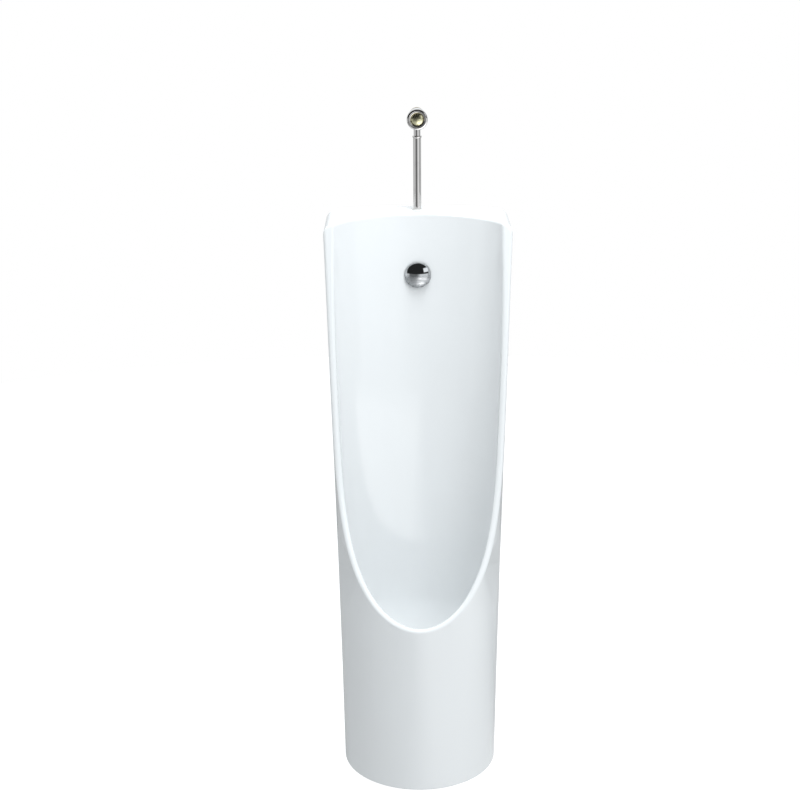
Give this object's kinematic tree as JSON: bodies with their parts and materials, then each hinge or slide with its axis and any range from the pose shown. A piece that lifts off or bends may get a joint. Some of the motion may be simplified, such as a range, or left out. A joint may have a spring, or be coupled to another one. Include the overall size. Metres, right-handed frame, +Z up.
{
  "type": "wall-hung urinal",
  "caption": "Tall white china urinal with a scooped oval bowl, chrome water spreader, exposed flush pipe with push-button flush valve, hidden bottle trap and wall hangers.",
  "frame": {"origin": "middle of the four hanger screw holes, on the face of the wall", "axes": "+X to the user's right, +Y into the wall (square to it), +Z up"},
  "size_m": [0.3232, 0.3382, 1.1785],
  "materials": {
    "glazed_china": "gloss",
    "zinc_steel": "satin",
    "black_rubber": "matte",
    "white_rubber": "matte",
    "chrome_plate": "polished",
    "button_brass": "gloss",
    "plain_brass": "satin",
    "stainless": "satin",
    "white_plastic": "satin",
    "grey_plastic": "satin"
  },
  "bodies": {
    "fixed": {"ceramic_body": "glazed_china", "left_hanger": "zinc_steel", "right_hanger": "zinc_steel", "hanger_pads": "black_rubber", "stem_seal": "black_rubber", "pipe_head_seal": "black_rubber", "elbow_seal": "black_rubber", "spreader_gasket": "black_rubber", "spreader_back_washer": "black_rubber", "waste_gasket": "black_rubber", "waste_back_washer": "black_rubber", "trap_inlet_seal": "black_rubber", "trap_cup_seal": "black_rubber", "outlet_seal": "black_rubber", "inlet_grommet": "white_rubber", "valve_body": "chrome_plate", "front_bezel": "chrome_plate", "flush_pipe": "chrome_plate", "spreader_dome": "chrome_plate", "waste_flange": "chrome_plate", "valve_seat": "plain_brass", "valve_bonnet": "plain_brass", "inlet_nipple": "plain_brass", "inlet_elbow": "plain_brass", "spreader_body": "plain_brass", "spreader_back_nut": "plain_brass", "return_spring": "stainless", "inlet_filter": "stainless", "waste_back_nut": "white_plastic", "trap_inlet_nut": "white_plastic", "trap_body": "white_plastic", "trap_dip_tube": "white_plastic", "trap_cup": "white_plastic", "outlet_nut": "white_plastic", "wall_rosette": "white_plastic", "outlet_pipe": "grey_plastic"},
    "button": {"push_button": "button_brass", "valve_stem": "plain_brass", "seat_washer": "black_rubber"},
    "strainer": {"strainer": "stainless"}
  },
  "joints": [
    {"name": "button_press", "type": "slide", "parent": "fixed", "child": "button", "axis": [0, 1, 0], "range_m": [0, 0.005], "stiffness_N_per_m": 1500, "springref_m": -0.006, "deforming": ["return_spring"]},
    {"name": "strainer_lift", "type": "slide", "parent": "fixed", "child": "strainer", "axis": [0, 0, 1], "range_m": [0, 0.16]}
  ]
}
